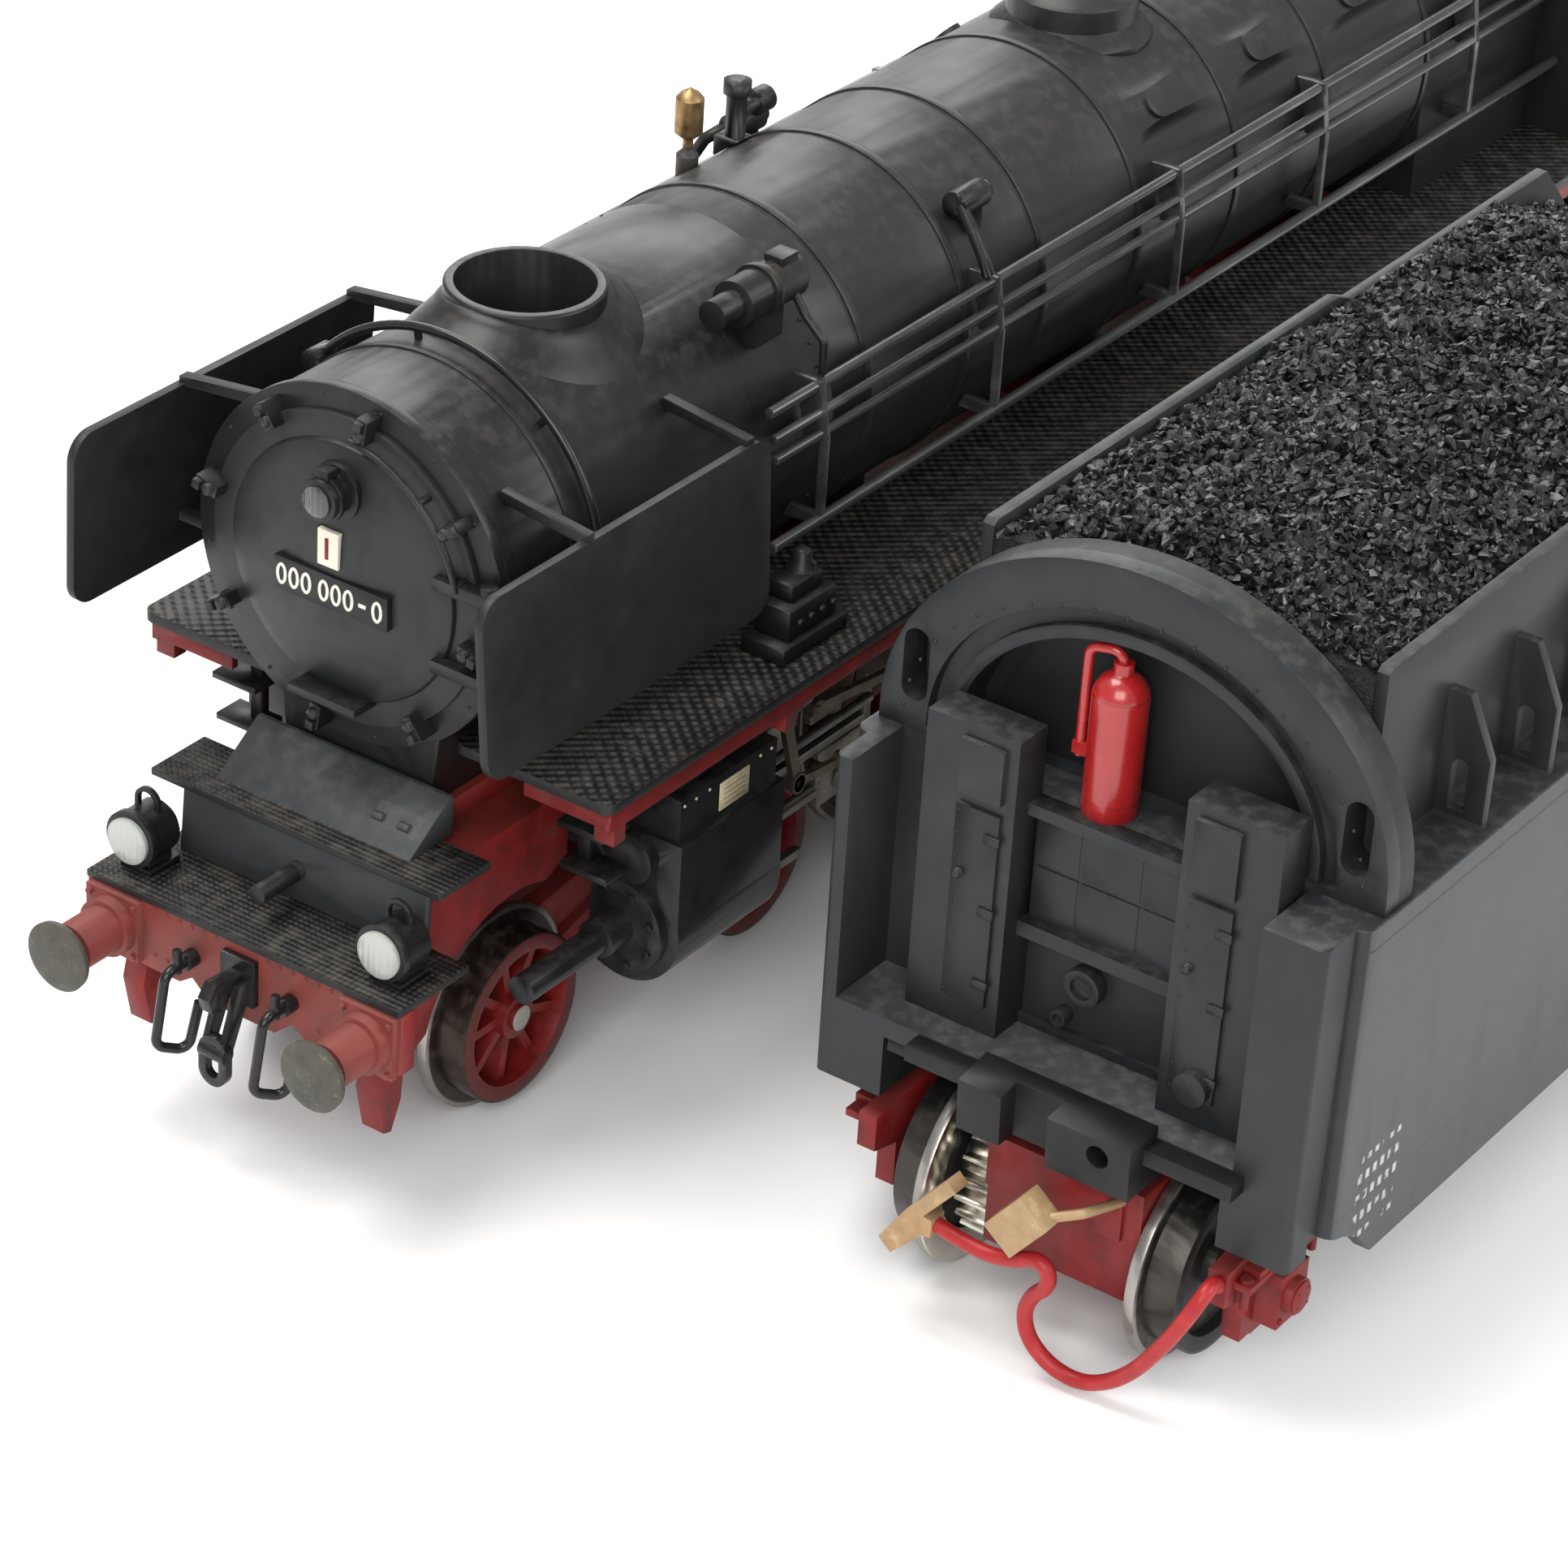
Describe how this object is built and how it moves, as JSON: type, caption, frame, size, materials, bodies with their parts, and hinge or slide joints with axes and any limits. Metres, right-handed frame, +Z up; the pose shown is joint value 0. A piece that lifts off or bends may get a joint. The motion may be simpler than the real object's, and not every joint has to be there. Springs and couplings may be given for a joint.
{
  "type": "model steam locomotive",
  "caption": "Model tender steam locomotive with smoke deflectors, turning spoked wheels, rods and valve gear; the powered coal tender stands alongside on two swivelling bogies.",
  "frame": {"origin": "on rail level, on the engine's centre line, under the middle driving axle", "axes": "+X forward along the engine, +Y to its left (the tender stands on that side), +Z up"},
  "size_m": [0.1827, 0.0839, 0.0527],
  "materials": {
    "red_paint": "satin, weathered",
    "red_wheel": "satin red paint",
    "buffer_steel": "matt grey-brown",
    "black_paint": "satin black",
    "grey_paint": "matt grey",
    "lens": "frosted white",
    "plate_black": "black with raised white ring marks",
    "boiler_grey": "satin dark grey",
    "brass": "dull brass",
    "motion_metal": "dull bronze-grey metal",
    "tender_grey": "matt dark grey",
    "coal": "broken coal",
    "bright_red": "semi-gloss",
    "wheel_steel": "blackened with bright rims",
    "gear_metal": "bright",
    "tan_plastic": "matt tan",
    "red_wire": "satin insulation"
  },
  "bodies": {
    "loco": {"loco_frame": "red_paint", "buffer_beam": "red_paint", "buffer_heads": "buffer_steel", "front_platforms": "black_paint", "apron_panels": "grey_paint", "screw_coupling": "black_paint", "brake_hoses": "black_paint", "front_lamps": "black_paint", "lamp_lenses": "lens", "smokebox": "black_paint", "smokebox_door": "black_paint", "door_fittings": "black_paint", "number_plates": "plate_black", "chimney": "black_paint", "boiler_shell": "boiler_grey", "steam_domes": "boiler_grey", "side_pipes": "boiler_grey", "turbo_generator": "boiler_grey", "boiler_valves": "boiler_grey", "whistle": "brass", "boiler_handrail": "black_paint", "smoke_deflectors": "black_paint", "running_boards": "boiler_grey", "board_valances": "red_paint", "cylinders": "black_paint", "motion_bracket": "motion_metal", "cab": "boiler_grey", "cab_roof": "black_paint"},
    "lead_bogie": {"lead_bogie": "red_paint"},
    "leading_axle_1": {"leading_wheelset_1": "red_wheel"},
    "leading_axle_2": {"leading_wheelset_2": "red_wheel"},
    "driver_1": {"driver_1": "red_wheel"},
    "driver_2": {"driver_2": "red_wheel"},
    "driver_3": {"driver_3": "red_wheel"},
    "coupling_rod_left": {"coupling_rod_left": "motion_metal"},
    "coupling_rod_right": {"coupling_rod_right": "motion_metal"},
    "connecting_rod_left": {"connecting_rod_left": "motion_metal"},
    "connecting_rod_right": {"connecting_rod_right": "motion_metal"},
    "crosshead_left": {"crosshead_left": "motion_metal"},
    "crosshead_right": {"crosshead_right": "motion_metal"},
    "expansion_links": {"expansion_links": "motion_metal"},
    "trailing_truck": {"trailing_truck": "red_paint"},
    "trailing_axle": {"trailing_wheelset": "red_wheel"},
    "drawbar": {"drawbar": "motion_metal"},
    "tender": {"tender_body": "tender_grey", "tender_bulkhead": "tender_grey", "coal_load": "coal", "fire_extinguisher": "bright_red", "coupling_block": "tender_grey", "tender_rear_fittings": "red_paint"},
    "front_bogie": {"front_bogie": "red_paint", "wire_plugs": "tan_plastic", "motor_wire": "red_wire"},
    "rear_bogie": {"rear_bogie": "red_paint"},
    "tender_axle_1": {"tender_wheelset_1": "wheel_steel"},
    "tender_axle_2": {"tender_wheelset_2": "wheel_steel"},
    "tender_axle_3": {"tender_wheelset_3": "wheel_steel"},
    "tender_axle_4": {"tender_wheelset_4": "wheel_steel"},
    "idler": {"idler_gear": "gear_metal"},
    "armature": {"motor_armature": "gear_metal"}
  },
  "joints": [
    {"name": "drivers_spin", "type": "hinge", "parent": "loco", "child": "driver_2", "pos_m": [0, 0, 0.0115], "axis": [0, 1, 0], "continuous": true},
    {"name": "driver_1_spin", "type": "hinge", "parent": "loco", "child": "driver_1", "pos_m": [0.0264, 0, 0.0115], "axis": [0, 1, 0], "continuous": true},
    {"name": "driver_3_spin", "type": "hinge", "parent": "loco", "child": "driver_3", "pos_m": [-0.0264, 0, 0.0115], "axis": [0, 1, 0], "continuous": true},
    {"name": "coupling_rod_left_pin", "type": "hinge", "parent": "driver_2", "child": "coupling_rod_left", "pos_m": [-0.00329, 0.01075, 0.0096], "axis": [0, 1, 0], "continuous": true},
    {"name": "connecting_rod_left_pin", "type": "hinge", "parent": "driver_2", "child": "connecting_rod_left", "pos_m": [-0.00329, 0.0122, 0.0096], "axis": [0, 1, 0], "continuous": true},
    {"name": "crosshead_left_slide", "type": "slide", "parent": "loco", "child": "crosshead_left", "axis": [1, 0, 0], "range_m": [-0.00047, 0.00713]},
    {"name": "coupling_rod_right_pin", "type": "hinge", "parent": "driver_2", "child": "coupling_rod_right", "pos_m": [0.00329, -0.01075, 0.0096], "axis": [0, 1, 0], "continuous": true},
    {"name": "connecting_rod_right_pin", "type": "hinge", "parent": "driver_2", "child": "connecting_rod_right", "pos_m": [0.00329, -0.0122, 0.0096], "axis": [0, 1, 0], "continuous": true},
    {"name": "crosshead_right_slide", "type": "slide", "parent": "loco", "child": "crosshead_right", "axis": [1, 0, 0], "range_m": [-0.00705, 0.00055]},
    {"name": "expansion_links_swing", "type": "hinge", "parent": "loco", "child": "expansion_links", "pos_m": [0.033, 0, 0.0185], "axis": [0, 1, 0], "range_deg": [-8, 8]},
    {"name": "lead_bogie_swivel", "type": "hinge", "parent": "loco", "child": "lead_bogie", "pos_m": [0.05915, 0, 0.01], "axis": [0, 0, 1], "range_deg": [-3.5, 3.5]},
    {"name": "leading_1_spin", "type": "hinge", "parent": "lead_bogie", "child": "leading_axle_1", "pos_m": [0.0718, 0, 0.00575], "axis": [0, 1, 0], "continuous": true},
    {"name": "leading_2_spin", "type": "hinge", "parent": "lead_bogie", "child": "leading_axle_2", "pos_m": [0.0465, 0, 0.00575], "axis": [0, 1, 0], "continuous": true},
    {"name": "trailing_truck_swivel", "type": "hinge", "parent": "loco", "child": "trailing_truck", "pos_m": [-0.05, 0, 0.008], "axis": [0, 0, 1], "range_deg": [-3, 3]},
    {"name": "trailing_spin", "type": "hinge", "parent": "trailing_truck", "child": "trailing_axle", "pos_m": [-0.0707, 0, 0.0072], "axis": [0, 1, 0], "continuous": true},
    {"name": "drawbar_swing", "type": "hinge", "parent": "loco", "child": "drawbar", "pos_m": [-0.0765, 0, 0.0153], "axis": [0, 0, 1], "range_deg": [-15, 15]},
    {"name": "tender_roll", "type": "slide", "parent": "loco", "child": "tender", "axis": [1, 0, 0], "range_m": [-0.03, 0]},
    {"name": "front_bogie_swivel", "type": "hinge", "parent": "tender", "child": "front_bogie", "pos_m": [0.0547, 0.048, 0.012], "axis": [0, 0, 1], "range_deg": [-3, 3]},
    {"name": "rear_bogie_swivel", "type": "hinge", "parent": "tender", "child": "rear_bogie", "pos_m": [0.0111, 0.048, 0.012], "axis": [0, 0, 1], "range_deg": [-3, 3]},
    {"name": "tender_axle_1_spin", "type": "hinge", "parent": "front_bogie", "child": "tender_axle_1", "pos_m": [0.0656, 0.048, 0.00575], "axis": [0, 1, 0], "continuous": true},
    {"name": "tender_axle_2_spin", "type": "hinge", "parent": "front_bogie", "child": "tender_axle_2", "pos_m": [0.0438, 0.048, 0.00575], "axis": [0, 1, 0], "continuous": true},
    {"name": "tender_axle_3_spin", "type": "hinge", "parent": "rear_bogie", "child": "tender_axle_3", "pos_m": [0.022, 0.048, 0.00575], "axis": [0, 1, 0], "continuous": true},
    {"name": "tender_axle_4_spin", "type": "hinge", "parent": "rear_bogie", "child": "tender_axle_4", "pos_m": [0.0002, 0.048, 0.00575], "axis": [0, 1, 0], "continuous": true},
    {"name": "idler_spin", "type": "hinge", "parent": "front_bogie", "child": "idler", "pos_m": [0.0589, 0.048, 0.0084], "axis": [0, 1, 0], "continuous": true},
    {"name": "armature_spin", "type": "hinge", "parent": "front_bogie", "child": "armature", "pos_m": [0.0538, 0.048, 0.0074], "axis": [0, 1, 0], "continuous": true}
  ],
  "couplings": [
    {"joint": "driver_1_spin", "follows": "drivers_spin", "ratio": 1},
    {"joint": "driver_3_spin", "follows": "drivers_spin", "ratio": 1},
    {"joint": "coupling_rod_left_pin", "follows": "drivers_spin", "ratio": -1},
    {"joint": "connecting_rod_left_pin", "follows": "drivers_spin", "ratio": -1},
    {"joint": "coupling_rod_right_pin", "follows": "drivers_spin", "ratio": -1},
    {"joint": "connecting_rod_right_pin", "follows": "drivers_spin", "ratio": -1},
    {"joint": "idler_spin", "follows": "tender_axle_1_spin", "ratio": -1.25},
    {"joint": "armature_spin", "follows": "tender_axle_1_spin", "ratio": 2}
  ]
}
